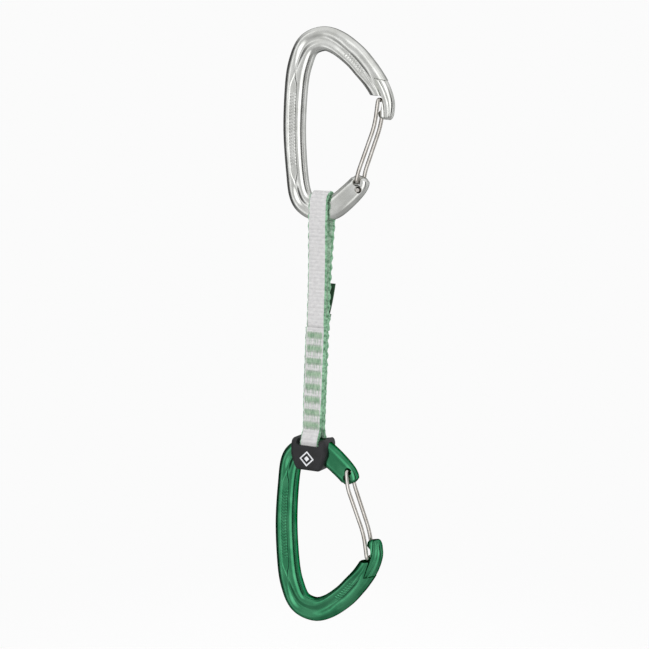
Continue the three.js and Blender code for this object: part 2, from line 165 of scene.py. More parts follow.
def settled(piece, name, matrix=Matrix.Identity(4), angle=40):
    """From the drafting table into the frame, with edges sharper than angle kept crisp."""
    piece.data.transform(Matrix.Scale(MM, 4) @ matrix)
    piece.name = name
    active(piece)
    bpy.ops.object.shade_smooth_by_angle(angle=math.radians(angle))
    return piece


def coordinates(piece):
    points = np.zeros(len(piece.data.vertices) * 3)
    piece.data.vertices.foreach_get("co", points)
    return points.reshape(-1, 3)


def shaped(piece, move):
    """Moves every point by move(x, y, z), three arrays in and three out."""
    points = coordinates(piece)
    moved = np.stack(move(*points.T), axis=1)
    piece.data.vertices.foreach_set("co", moved.ravel())
    piece.data.update()


def ramp(value, low, high):
    """0 below low, 1 above high, smooth between."""
    t = np.clip((value - low) / (high - low), 0, 1)
    return t * t * (3 - 2 * t)


def through(points, t):
    """The place at t on a smooth line through all the points, with t counted in points."""
    last = len(points) - 1
    k = min(int(t), last - 1)
    f = t - k
    near = (points[min(max(k + j, 0), last)] for j in (-1, 0, 1, 2))
    return tuple(
        0.5 * (2 * q + f * (r - p) + f * f * (2 * p - 5 * q + 4 * r - s)
               + f ** 3 * (3 * q - p - 3 * r + s))
        for p, q, r, s in zip(*near))


def reaches(line):
    """How far along the line each of its points lies."""
    far = [0.0]
    for a, b in zip(line, line[1:]):
        far.append(far[-1] + math.dist(a[:2], b[:2]))
    return far


def straight_bar(name, rings, corner, cuts):
    """A straight bar along X through (reach, width along Y, depth along Z), with rounded corners.

    corner is how much of the width and of the depth each corner takes, and cuts is how many lines run
    along the two faces between the corners.
    """
    reach, width, depth = rings[0]
    across, deep = corner
    bpy.ops.mesh.primitive_plane_add(size=1, rotation=(0, math.pi / 2, 0))
    bar = bpy.context.object
    bar.name = name
    bpy.ops.object.transform_apply(rotation=True)
    bpy.ops.object.mode_set(mode="EDIT")
    bpy.ops.transform.resize(value=(1, 1, across / deep), center_override=(0, 0, 0))
    bpy.ops.mesh.bevel(offset=across, offset_type="OFFSET", segments=4, affect="VERTICES")
    bpy.ops.transform.resize(value=(1, width, depth * deep / across), center_override=(0, 0, 0))
    bpy.ops.mesh.delete(type="ONLY_FACE")
    bpy.ops.object.mode_set(mode="OBJECT")
    points = bar.data.vertices
    for edge in bar.data.edges:
        a, b = (points[k].co for k in edge.vertices)
        edge.select = abs(a.z - b.z) < 1e-5 and abs(a.y - b.y) > 1e-5
    bpy.ops.object.mode_set(mode="EDIT")
    bpy.ops.mesh.select_mode(type="EDGE")
    bpy.ops.mesh.subdivide(number_cuts=cuts)
    bpy.ops.mesh.select_all(action="SELECT")
    bpy.ops.mesh.edge_face_add()
    for ring in rings[1:]:
        bpy.ops.mesh.extrude_region_move(TRANSFORM_OT_translate={"value": (ring[0] - reach, 0, 0)})
        bpy.ops.transform.resize(
            value=(1, ring[1] / width, ring[2] / depth), center_override=(ring[0], 0, 0))
        reach, width, depth = ring
    bpy.ops.mesh.select_all(action="SELECT")
    bpy.ops.mesh.normals_make_consistent(inside=False)
    bpy.ops.object.mode_set(mode="OBJECT")
    return bar


def bent(bar, line):
    """Bends a straight bar along a line in the drafting plane."""
    curve = bpy.data.curves.new("line", "CURVE")
    curve.dimensions = "2D"
    spline = curve.splines.new("POLY")
    spline.points.add(len(line) - 1)
    for point, place in zip(spline.points, line):
        point.co = (place[0], place[1], 0, 1)
    guide = bpy.data.objects.new("line", curve)
    bpy.context.scene.collection.objects.link(guide)
    applied(bar, "CURVE", object=guide, deform_axis="POS_X")
    bpy.data.objects.remove(guide)


def forged(name, stations, corner, cuts, steps, levels, relief=None, fine=()):
    """A bar through stations of (x, z, width, depth), relief worked into its faces, bent and stood up.

    Each stretch between stations gets `steps` rings, and those listed in `fine` six times as many.
    """
    count = (len(stations) - 1) * steps
    places = [through(stations, k / steps + f / (6 * steps))
              for k in range(count) for f in (range(6) if k // steps in fine else (0,))]
    places.append(through(stations, len(stations) - 1))
    rings = [(far, place[2], place[3]) for far, place in zip(reaches(places), places)]
    bar = straight_bar(name, rings, corner, cuts)
    applied(bar, "SUBSURF", levels=levels, render_levels=levels)
    if relief:
        shaped(bar, relief)
    bent(bar, [through(stations, k / (6 * steps)) for k in range(6 * count + 1)])
    bar.data.transform(Matrix.Rotation(math.pi / 2, 4, "X"))
    return bar


def plate(outline, low, high):
    """A plate with its outline in the X-Z plane, from low to high along Y."""
    bpy.ops.mesh.primitive_circle_add(
        vertices=len(outline), fill_type="NGON", rotation=(math.pi / 2, 0, 0))
    piece = bpy.context.object
    bpy.ops.object.transform_apply(rotation=True)
    for point, (x, z) in zip(piece.data.vertices, outline):
        point.co = (x, low, z)
    bpy.ops.object.mode_set(mode="EDIT")
    bpy.ops.mesh.select_all(action="SELECT")
    bpy.ops.mesh.extrude_region_move(TRANSFORM_OT_translate={"value": (0, high - low, 0)})
    bpy.ops.mesh.select_all(action="SELECT")
    bpy.ops.mesh.normals_make_consistent(inside=False)
    bpy.ops.object.mode_set(mode="OBJECT")
    return piece


# ---- materials --------------------------------------------------------------------------------
def linear(code):
    """A colour written as sRGB hex, turned to linear."""
    parts = [int(code[k:k + 2], 16) / 255 for k in (1, 3, 5)]
    return (*(c / 12.92 if c <= 0.04045 else ((c + 0.055) / 1.055) ** 2.4 for c in parts), 1.0)


def add(tree, kind, links=(), **settings):
    """Adds a node and links other nodes' outputs into it. A setting named _2 is the value of input 2."""
    node = tree.nodes.new(kind)
    for key, value in settings.items():
        if key[0] == "_":
            node.inputs[int(key[1:])].default_value = value
        else:
            setattr(node, key, value)
    for socket, output in dict(links).items():
        tree.links.new(output, node.inputs[socket])
    return node


def material(name, **settings):
    """A material with one principled shader, its plain values set on the shader's own sockets."""
    finish = bpy.data.materials.new(name)
    finish.use_nodes = True
    shader = finish.node_tree.nodes["Principled BSDF"]
    for key, value in settings.items():
        shader.inputs[key.replace("_", " ")].default_value = value
    return finish, finish.node_tree, shader


def ramp_node(tree, fac, stops):
    """A colour ramp through (position, colour) stops."""
    node = add(tree, "ShaderNodeValToRGB", {0: fac})
    stops_in = node.color_ramp.elements
    while len(stops_in) < len(stops):
        stops_in.new(0.5)
    for element, (position, code) in zip(stops_in, stops):
        element.position = position
        element.color = linear(code)
    return node


def tumbled_metal(name, light, dark, rim, low, high, grain=900):
    """A polished metal: soft mirror bands, broken by fine marks, with roughness from low to high."""
    finish, tree, shader = material(name, Metallic=1.0, Specular_Tint=linear(rim))
    place = add(tree, "ShaderNodeTexCoord").outputs["Object"]
    # marks of about 1 mm from tumbling, and a slow wave of 6 mm from hand polishing
    marks = add(tree, "ShaderNodeTexNoise", {"Vector": place}, _2=grain, _3=4.0, _4=0.6)
    cloud = add(tree, "ShaderNodeTexNoise", {"Vector": place}, _2=160.0, _3=3.0, _4=0.5)
    colour = ramp_node(tree, cloud.outputs[0], ((0.35, dark), (0.65, light)))
    rough = add(tree, "ShaderNodeMapRange", {0: marks.outputs[0]}, _1=0.3, _2=0.7, _3=low, _4=high)
    dents = add(tree, "ShaderNodeBump", {"Height": marks.outputs[0]}, _0=0.03, _1=0.0002)
    tree.links.new(colour.outputs[0], shader.inputs["Base Color"])
    tree.links.new(rough.outputs[0], shader.inputs["Roughness"])
    tree.links.new(dents.outputs[0], shader.inputs["Normal"])
    return finish


def woven_polyethylene(name, face, back, edge):
    """Woven sling webbing: pale ribbed face, green selvedge cords, and a flecked green inside that is
    partly its own green and partly painted shade.

    Its map gives millimetres across and along, as weave_map lays it out.
    """
    finish, tree, shader = material(name, Roughness=0.85, Specular_IOR_Level=0.25, Sheen_Weight=0.25)
    place = add(tree, "ShaderNodeUVMap", uv_map="weave").outputs[0]
    split = add(tree, "ShaderNodeSeparateXYZ", {0: place})
    side = add(tree, "ShaderNodeMath", {0: split.outputs[0]}, operation="GREATER_THAN",
               _1=INSIDE_ASIDE / 2)
    shift = add(tree, "ShaderNodeMath", {0: side.outputs[0]}, operation="MULTIPLY", _1=INSIDE_ASIDE)
    across = add(tree, "ShaderNodeMath", {0: split.outputs[0], 1: shift.outputs[0]},
                 operation="SUBTRACT")
    out = add(tree, "ShaderNodeMath", {0: across.outputs[0]}, operation="ABSOLUTE")
    # warp cords of 0.55 mm lie side by side, and the weft binds them every 0.8 mm
    cords = add(tree, "ShaderNodeMath", {0: across.outputs[0]}, operation="MULTIPLY",
                _1=2 * math.pi / 0.55)
    warp = add(tree, "ShaderNodeMath", {0: cords.outputs[0]}, operation="SINE")
    picks = add(tree, "ShaderNodeMath", {0: split.outputs[1]}, operation="MULTIPLY",
                _1=2 * math.pi / 0.8)
    weft = add(tree, "ShaderNodeMath", {0: picks.outputs[0]}, operation="SINE")
    weave = add(tree, "ShaderNodeMath", {0: warp.outputs[0], 1: weft.outputs[0]},
                operation="MULTIPLY")
    fleck = add(tree, "ShaderNodeTexNoise", {"Vector": place}, _2=0.55, _3=3.0, _4=0.6)
    fuzz = add(tree, "ShaderNodeTexNoise", {"Vector": place}, _2=3.0, _3=2.0, _4=0.5)
    pale = ramp_node(tree, fleck.outputs[0], face)
    # the inside's darker green is partly its own colour and partly painted shade
    green = ramp_node(tree, fleck.outputs[0], back)
    cord = ramp_node(tree, fleck.outputs[0], edge)
    faces = add(tree, "ShaderNodeMix", {0: side.outputs[0], 6: pale.outputs[0], 7: green.outputs[0]},
                data_type="RGBA")
    rim = add(tree, "ShaderNodeMapRange", {0: out.outputs[0]}, interpolation_type="SMOOTHSTEP",
              _1=WEB_WIDTH / 2 - 0.85, _2=WEB_WIDTH / 2 - 0.45)
    cloth = add(tree, "ShaderNodeMix", {0: rim.outputs[0], 6: faces.outputs[2], 7: cord.outputs[0]},
                data_type="RGBA")
    # painted shade where the woven cords and picks dip under one another
    shade = add(tree, "ShaderNodeMapRange", {0: weave.outputs[0]}, _1=-1.0, _2=1.0, _3=0.90, _4=1.0)
    # the hollows between the ribs are painted with a little shade
    ribs = add(tree, "ShaderNodeMath", {0: split.outputs[1]}, operation="MULTIPLY",
               _1=2 * math.pi / RIB_PITCH)
    rib = add(tree, "ShaderNodeMath", {0: ribs.outputs[0]}, operation="SINE")
    hollow = add(tree, "ShaderNodeMapRange", {0: rib.outputs[0]}, _1=-1.0, _2=0.0, _3=0.93, _4=1.0)
    both = add(tree, "ShaderNodeMath", {0: shade.outputs[0], 1: hollow.outputs[0]},
               operation="MULTIPLY")
    tone = add(tree, "ShaderNodeMix", {6: cloth.outputs[2], 7: both.outputs[0]}, data_type="RGBA",
               blend_type="MULTIPLY", _0=1.0)
    height = add(tree, "ShaderNodeMath", {0: weave.outputs[0], 1: fuzz.outputs[0]}, operation="ADD")
    relief = add(tree, "ShaderNodeBump", {"Height": height.outputs[0]}, _0=0.55, _1=0.00012)
    tree.links.new(tone.outputs[2], shader.inputs["Base Color"])
    tree.links.new(relief.outputs[0], shader.inputs["Normal"])
    return finish


def twisted_thread(name, light, dark):
    """Bonded sewing thread: matt, with a twist that shows as fine slanting lines."""
    finish, tree, shader = material(name, Roughness=0.7, Specular_IOR_Level=0.3, Sheen_Weight=0.2)
    place = add(tree, "ShaderNodeTexCoord").outputs["Object"]
    turn = add(tree, "ShaderNodeMapping", {0: place}, _2=(0.0, math.radians(35), 0.0))
    # one twist each 0.4 mm
    twist = add(tree, "ShaderNodeTexWave", {0: turn.outputs[0]}, bands_direction="Z",
                _1=800.0, _2=1.5)
    # each thread catches the light its own way, so the tone changes across the threads
    drawn = add(tree, "ShaderNodeMapping", {0: place}, _3=(1.0, 1.0, 0.22))
    patch = add(tree, "ShaderNodeTexNoise", {"Vector": drawn.outputs[0]}, _2=1300.0, _3=2.0)
    colour = ramp_node(tree, patch.outputs[0], ((0.3, dark), (0.7, light)))
    lines = add(tree, "ShaderNodeBump", {"Height": twist.outputs[1]}, _0=0.4, _1=0.00008)
    tree.links.new(colour.outputs[0], shader.inputs["Base Color"])
    tree.links.new(lines.outputs[0], shader.inputs["Normal"])
    return finish


def moulded_rubber(name, light, dark):
    """Moulded rubber: matt black with the fine spark-eroded grain of its mould."""
    finish, tree, shader = material(name, Roughness=0.6, Specular_IOR_Level=0.45)
    place = add(tree, "ShaderNodeTexCoord").outputs["Object"]
    # grain of 0.35 mm, with a bloom in patches of 5 mm
    grain = add(tree, "ShaderNodeTexNoise", {"Vector": place}, _2=2800.0, _3=3.0, _4=0.6)
    bloom = add(tree, "ShaderNodeTexNoise", {"Vector": place}, _2=220.0, _3=3.0, _4=0.5)
    colour = ramp_node(tree, bloom.outputs[0], ((0.35, dark), (0.7, light)))
    rough = add(tree, "ShaderNodeMapRange", {0: bloom.outputs[0]}, _1=0.3, _2=0.7, _3=0.5, _4=0.72)
    pits = add(tree, "ShaderNodeBump", {"Height": grain.outputs[0]}, _0=0.35, _1=0.0001)
    tree.links.new(colour.outputs[0], shader.inputs["Base Color"])
    tree.links.new(rough.outputs[0], shader.inputs["Roughness"])
    tree.links.new(pits.outputs[0], shader.inputs["Normal"])
    return finish


BACKDROP = "#fbfbfb"


def studio_paper(name, code, near, far):
    """Matt backdrop paper, lit by itself from `far` metres out, so that it has no horizon."""
    finish, tree, shader = material(name, Base_Color=linear(code), Roughness=0.95, Specular_IOR_Level=0.1)
    place = add(tree, "ShaderNodeTexCoord").outputs["Object"]
    out = add(tree, "ShaderNodeVectorMath", {0: place}, operation="LENGTH")
    fade = add(tree, "ShaderNodeMapRange", {0: out.outputs["Value"]}, interpolation_type="SMOOTHSTEP",
               _1=near, _2=far)
    glow = add(tree, "ShaderNodeEmission", _0=linear(BACKDROP))
    both = add(tree, "ShaderNodeMixShader",
               {0: fade.outputs[0], 1: shader.outputs[0], 2: glow.outputs[0]})
    tree.links.new(both.outputs[0], tree.nodes["Material Output"].inputs[0])
    return finish


polished_aluminium = tumbled_metal(
    "tumble_polished_aluminium", "#dbdcd9", "#c9cac6", "#b4b6b4", 0.15, 0.26)
anodised_aluminium = tumbled_metal(
    "green_anodised_aluminium", "#489069", "#377d58", "#103f27", 0.15, 0.25)
drawn_steel = tumbled_metal(
    "drawn_stainless_wire", "#d3d0cb", "#bab5ae", "#857d74", 0.12, 0.22, grain=1400)
white_webbing = woven_polyethylene(
    "ribbed_sling_webbing",
    ((0.3, "#c5c4c5"), (0.7, "#d9d8d8")),
    ((0.35, "#79a985"), (0.65, "#d0e8d5")),
    ((0.35, "#4b7c59"), (0.6, "#93c3a0")))
green_thread = twisted_thread("bonded_green_thread", "#aec4ad", "#7a9b7f")
label_weave = twisted_thread("dark_green_label_satin", "#125029", "#082812")
black_rubber = moulded_rubber("moulded_black_rubber", "#232326", "#151517")
white_rubber = moulded_rubber("moulded_white_rubber", "#e2e3e6", "#d2d3d7")
pale_paper = studio_paper("pale_studio_paper", "#f4f4f4", 0.05, 0.6)


def finished(piece, finish):
    piece.data.materials.clear()
    piece.data.materials.append(finish)
    return piece


# ---- carabiner body ---------------------------------------------------------------------------
spine_middle_z = (basket_z + bar_z) / 2
BODY_STATIONS = [
    (HINGE_REACH + 1.6, hinge_z + 4.6, 3.6, 4.0),
    (HINGE_REACH + 1.2, hinge_z + 3.7, 7.4, 5.6),
    (HINGE_REACH + 0.2, hinge_z + 1.6, HINGE_WIDTH - 1.0, HINGE_DEPTH),
    (HINGE_REACH - 2.8, hinge_z - 1.9, HINGE_WIDTH, HINGE_DEPTH),
    (HINGE_REACH - 9.0, (hinge_z + bar_z) / 2 - 1.6, HINGE_WIDTH + 0.6, BAR_DEPTH),
    (5.2, bar_z + 0.6, BAR_WIDTH - 0.8, BAR_DEPTH),
    (SLING_SEAT, bar_z, BAR_WIDTH, BAR_DEPTH),
    (-7.7, bar_z + 1.1, BAR_WIDTH - 1.2, BAR_DEPTH),
    (-SPINE_REACH + 3.4, bar_z + 6.4, SPINE_WIDTH + 0.2, SPINE_DEPTH - 0.3),
    (-SPINE_REACH + 1.3, bar_z + 18.3, SPINE_WIDTH - 0.4, SPINE_DEPTH),
    (-SPINE_REACH, spine_middle_z - 2.5, SPINE_WIDTH, SPINE_DEPTH),
    (-SPINE_REACH + 1.1, basket_z - 23, SPINE_WIDTH + 0.4, SPINE_DEPTH),
    (-SPINE_REACH + 3.4, basket_z - 11.4, BASKET_WIDTH, BASKET_DEPTH),
    (-8.2, basket_z - 2.9, BASKET_WIDTH, BASKET_DEPTH),
    (0, basket_z, BASKET_WIDTH, BASKET_DEPTH),
    (8.0, basket_z - 2.4, BASKET_WIDTH, BASKET_DEPTH),
    (NOSE_REACH - 18.3, basket_z - 8.7, ARM_WIDTH + 0.2, ARM_DEPTH),
    (NOSE_REACH - 12.3, basket_z - 15.1, ARM_WIDTH, ARM_DEPTH),
    (NOSE_REACH - 7.9, basket_z - 20.5, ARM_WIDTH - 0.6, ARM_DEPTH),
    (NOSE_REACH - 4.3, crossbar_z + 4.6, ARM_WIDTH - 1.0, ARM_DEPTH),
    (NOSE_REACH - 2.0, crossbar_z - 1.2, ARM_WIDTH - 1.6, ARM_DEPTH),
    (NOSE_REACH - 1.4, crossbar_z - 5.2, ARM_WIDTH - 2.8, HOOK_DEPTH),
    (NOSE_REACH - 1.2, nose_end_z + 1.2, HOOK_WIDTH + LIP_DEPTH - 0.4, HOOK_DEPTH),
    (NOSE_REACH - 1.3, nose_end_z, HOOK_WIDTH - 1.4, HOOK_DEPTH - 1.8),
]
HOOK_START = 17  # the first of the stations that the hook runs through
# everything past the step on the arm, which gives way to the thinner hook
HOOK_STEP = [
    (28.6, -14.2), (33.8, -15.4), (45, -12), (45, -45), (20, -45), (20, -23.6), (31.6, -23.4)]
ALL_DEPTH = (-10, 10)  # a cutter that goes through from front to back

# how far along the body each station lies
PARTS = 12
body_line = [through(BODY_STATIONS, k / PARTS) for k in range(PARTS * (len(BODY_STATIONS) - 1) + 1)]
body_reach = reaches(body_line)[::PARTS]


def body_relief(along, across, deep):
    """Works the panel with its raised marks, and the groove round both bends, into both faces."""
    bar_at, spine_low, spine_high = body_reach[7], body_reach[9], body_reach[12]
    apex_at, arm_at, nose_at = body_reach[14], body_reach[16], body_reach[19]
    face = ramp(np.abs(deep), 2.2, 3.0)
    # sunk panel, pointed at both ends
    panel_low, panel_high = spine_low - 8, spine_high - 4
    inside = np.minimum(along - panel_low, panel_high - along)
    half = 2.15 * ramp(inside, 0, 9)
    sunk = 0.3 * ramp(half - np.abs(across), 0, 0.5) * (inside > 0)
    # raised chevrons down the middle of the panel
    step = np.mod(along + 0.6 * np.abs(across), 1.6)
    stroke = ramp(0.5 - np.abs(step - 0.8), 0, 0.25)
    mark = ramp(1.5 - np.abs(across), 0, 0.3) * stroke
    mark = mark * ramp(inside, 11, 12) * 0.22
    # a second, shorter row of them in the groove on the arm
    row = ramp(along, arm_at - 4, arm_at - 2) * (1 - ramp(along, nose_at - 13, nose_at - 11))
    mark = mark + 0.18 * row * ramp(1.1 - np.abs(across + 1.5), 0, 0.3) * stroke
    # groove round the basket, running out towards the nose on the inner half
    middle = -1.5 * ramp(along, apex_at - 2, arm_at + 4)
    run = ramp(along, panel_high - 5, apex_at - 6) * (1 - ramp(along, arm_at + 8, nose_at + 1))
    wide = 0.6 + 1.9 * run
    hollow = 0.95 * run * np.exp(-((across - middle) / wide) ** 2 * 1.6)
    # groove round the bend below the spine
    turn = ramp(along, bar_at - 6, bar_at + 6) * (1 - ramp(along, panel_low - 4, panel_low + 5))
    hollow = hollow + 0.7 * turn * np.exp(-(across / 1.7) ** 2 * 1.6)
    # flat on the arm's outer half
    flat = ramp(along, arm_at - 8, arm_at) * ramp(across, -0.9, -0.3) * 0.28
    lower = face * (sunk - mark + hollow + flat)
    return along, across, deep - np.sign(deep) * lower


def hook_relief(along, across, deep):
    """Two fine grooves along the hook leave three ribs."""
    face = ramp(np.abs(deep), 1.4, 2.2)
    ribs = np.exp(-((np.abs(across - 0.9) - 1.35) / 0.4) ** 2)
    return along, across, deep - np.sign(deep) * face * 0.3 * ribs


def hole_cutter(x, z):
    """A hinge hole with a countersunk rim at both faces."""
    rim = HINGE_DEPTH / 2 - 0.45
    sweep = PIVOT_OFFSET / 2 * math.sin(GATE_SWING / 2)
    radius = WIRE_DIAMETER / 2 + sweep + HOLE_CLEARANCE
    bpy.ops.mesh.primitive_cylinder_add(vertices=48, radius=radius, depth=2 * rim,
                                        rotation=(math.pi / 2, 0, 0), location=(x, 0, z))
    cutter = bpy.context.object
    bpy.ops.object.transform_apply()
    for end in (1, -1):
        edit(cutter, lambda face: face.normal.y * end > 0.9)
        # out to the countersunk rim, then straight on past the face
        for out, grow in ((0.5, 1.24), (2.0, 1.0)):
            bpy.ops.mesh.extrude_region_move(TRANSFORM_OT_translate={"value": (0, end * out, 0)})
            bpy.ops.transform.resize(value=(grow, 1, grow), center_override=(x, 0, z))
        finish_edit()
    return cutter


def carabiner_body():
    body = forged("carabiner_body", BODY_STATIONS, (0.27, 0.34), 7, 3, 2, body_relief,
                  fine=(9, 10, 15, 16))
    boolean(body, plate(HOOK_STEP, *ALL_DEPTH))
    hook_stations = [
        (x, z, width - 0.1, HOOK_DEPTH) for x, z, width, depth in BODY_STATIONS[HOOK_START:-1]]
    hook_stations.append((NOSE_REACH - 1.3, nose_end_z, HOOK_WIDTH - 1.6, HOOK_DEPTH - 2.2))
    hook = forged("hook", hook_stations, (0.3, 0.42), 7, 4, 2, hook_relief)
    boolean(body, hook, "UNION")
    shoulder_z = crossbar_z + WIRE_DIAMETER / 2 + 3 * WIRE_CLEARANCE
    lip_z = crossbar_z - LIP_DROP
    far = hook_wall_x - ARM_WIDTH - 2
    notch = [
        (far, shoulder_z + 0.9), (hook_wall_x - 2.5, shoulder_z + 0.3),
        (hook_wall_x - 0.6, shoulder_z - 0.1), (hook_wall_x, shoulder_z - 0.7),
        (hook_wall_x, lip_z), (hook_wall_x - LIP_DEPTH, lip_z - LIP_TAPER),
        (hook_wall_x - LIP_DEPTH, nose_end_z - 5), (far, nose_end_z - 5)]
    boolean(body, plate(notch, *ALL_DEPTH))
    # each hole lies round the middle of the arc that its end of the wire swings through
    half = GATE_SWING / 2
    reach = PIVOT_OFFSET / 2 * math.cos(half)
    for end in (1, -1):
        x, z = HINGE_REACH - end * reach * math.sin(half), hinge_z + end * reach * math.cos(half)
        boolean(body, hole_cutter(x, z))
    return body


# ---- gate wire --------------------------------------------------------------------------------
def rounded(corners):
    """Points of a route with straight runs and rounded corners, from (x, y, z, radius) corners."""
    route = [Vector(corners[0][:3])]
    for before, here, after in zip(corners, corners[1:], corners[2:]):
        at, radius = Vector(here[:3]), here[3]
        start = at + (Vector(before[:3]) - at).normalized() * radius
        last = route[-1]
        route += [last.lerp(start, k / 8) for k in range(1, 8)]
        end = at + (Vector(after[:3]) - at).normalized() * radius
        for k in range(9):
            t = k / 8
            route.append(start * (1 - t) ** 2 + at * 2 * t * (1 - t) + end * t * t)
    route.append(Vector(corners[-1][:3]))
    return route


def gate_wire():
    radius = WIRE_DIAMETER / 2
    hinge_leg = HINGE_DEPTH / 2 + WIRE_CLEARANCE + radius
    nose_leg = HOOK_DEPTH / 2 + WIRE_CLEARANCE + radius

    def leg(side):
        return [
            (HINGE_REACH, side * hinge_leg, hinge_z - side * PIVOT_OFFSET / 2, radius * 1.5),
            (HINGE_REACH + 0.9, side * hinge_leg, hinge_z + 6.5, 3),
            (crossbar_x - 1.7, side * nose_leg, crossbar_z - 12.4, 5),
            (crossbar_x, side * nose_leg, crossbar_z, radius * 1.6)]

    route = rounded([
        (HINGE_REACH, HINGE_DEPTH / 2 - 0.6, hinge_z + PIVOT_OFFSET / 2, 0), *leg(-1), *reversed(leg(1)),
        (HINGE_REACH, -HINGE_DEPTH / 2 + 0.2, hinge_z - PIVOT_OFFSET / 2, 0)])
    curve = bpy.data.curves.new("gate_wire", "CURVE")
    curve.dimensions = "3D"
    curve.bevel_depth = radius
    curve.bevel_resolution = 5
    curve.use_fill_caps = True
    spline = curve.splines.new("POLY")
    spline.points.add(len(route) - 1)
    for point, place in zip(spline.points, route):
        point.co = (*place, 1)
    wire = bpy.data.objects.new("gate_wire", curve)
    bpy.context.scene.collection.objects.link(wire)
    active(wire)
    bpy.ops.object.convert(target="MESH")
    wire = bpy.context.object
    # the wire's two cut ends are dressed to a dome
    edit(wire, lambda face: len(face.vertices) > 6)
    bpy.ops.mesh.inset(thickness=0.35, depth=0.22)
    bpy.ops.mesh.inset(thickness=0.35, depth=0.08)
    finish_edit()
    return wire


def make_carabiners():
    body = carabiner_body()
    wire = gate_wire()
    places = (("upper", Matrix.Identity(4), polished_aluminium, "polished_aluminium"),
              ("lower", lower_place, anodised_aluminium, "green_aluminium"))
    for name, place, metal, slot in places:
        forging = settled(copied(body, "body", Matrix.Identity(4)), f"{name}_forged_body", place, 32)
        finished(forging, metal)
        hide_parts(f"{name}_carabiner_body")
        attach(forging, f"{name}_carabiner")
        gate = settled(copied(wire, "wire", Matrix.Identity(4)), f"{name}_gate_loop", place, 60)
        finished(gate, drawn_steel)
        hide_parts(f"{name}_gate_wire")
        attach(gate, f"{name}_gate")
    bpy.data.objects.remove(body)
    bpy.data.objects.remove(wire)


# ---- webbing ----------------------------------------------------------------------------------
def weave_map(strap, start, far, widths):
    """Millimetres across and along as the piece's map, with its inside set aside from its outside.

    A wider stretch is mapped as if it had the plain width, so that its selvedges stay at its edges.
    """
    layer = strap.data.uv_layers.new(name="weave")
    points = coordinates(strap)
    for face in strap.data.polygons:
        aside = INSIDE_ASIDE if face.normal.y < -0.5 else 0.0
        for corner in face.loop_indices:
            x, y, z = points[strap.data.loops[corner].vertex_index]
            layer.data[corner].uv = (z * WEB_WIDTH / np.interp(x, far, widths) + aside, start + x)


def strap(name, stations, start, crown=math.inf, scallop=0.33):
    """Webbing along (y, z, width) stations, its outer face to the left of the way it runs.

    start is where on the whole strip it begins. Its ribs stand up round the crown, where it is bent
    hardest, and scallop is how far its edges swell.
    """
    steps = 3
    line = [(y, z, WEB_THICKNESS, width) for y, z, width in stations]
    count = (len(line) - 1) * steps
    places = [through(line, k / steps) for k in range(count + 1)]
    rings = [(far, place[2], place[3]) for far, place in zip(reaches(places), places)]
    piece = straight_bar(name, rings, (0.42, 0.09), 1)
    applied(piece, "SUBSURF", levels=2, render_levels=2, subdivision_type="SIMPLE")

    def ribbed(along, thick, wide):
        rib = np.sin((along + start) * 2 * math.pi / RIB_PITCH)
        bulge = np.sin((along + start) * 2 * math.pi / SCALLOP_PITCH)
        edge = ramp(np.abs(wide), 4.2, 5.0)
        lift = 0.045 + 0.13 * np.exp(-((along - crown) / 8) ** 2)
        return (along, thick * (1 + lift * rib * (1 - edge) + 0.05 * bulge),
                wide + np.sign(wide) * edge * (scallop * bulge + 0.05 * rib))

    shaped(piece, ribbed)
    weave_map(piece, start, [ring[0] for ring in rings], [ring[2] for ring in rings])
    bent(piece, [through(line, k / (6 * steps)) for k in range(6 * count + 1)])
    # drafting X and Y are the sling's Y and Z, and drafting Z is its width along X
    piece.data.transform(Matrix(((0, 0, 1, 0), (1, 0, 0, 0), (0, 1, 0, 0), (0, 0, 0, 1))))
    return piece


def strand_out(down):
    """How far out an open strand's middle stands at a place down the sling."""
    t = (down - STRAND_TOP) / (STRAND_END - STRAND_TOP)
    return SEWN_OUT + (TURN_OUT - SEWN_OUT) * (1 - min(max(t, 0), 1)) ** 2


def spaced(low, high, pitch):
    count = max(2, round(abs(high - low) / pitch))
    return [low + (high - low) * k / count for k in range(count + 1)]


def turn_points(crown, way):
    """Points round a sling bar, from the front over the crown to the back."""
    angles = [k * math.pi / 12 for k in range(13)]
    return [(-TURN_OUT * math.cos(a), crown + way * TURN_OUT * math.sin(a)) for a in angles]


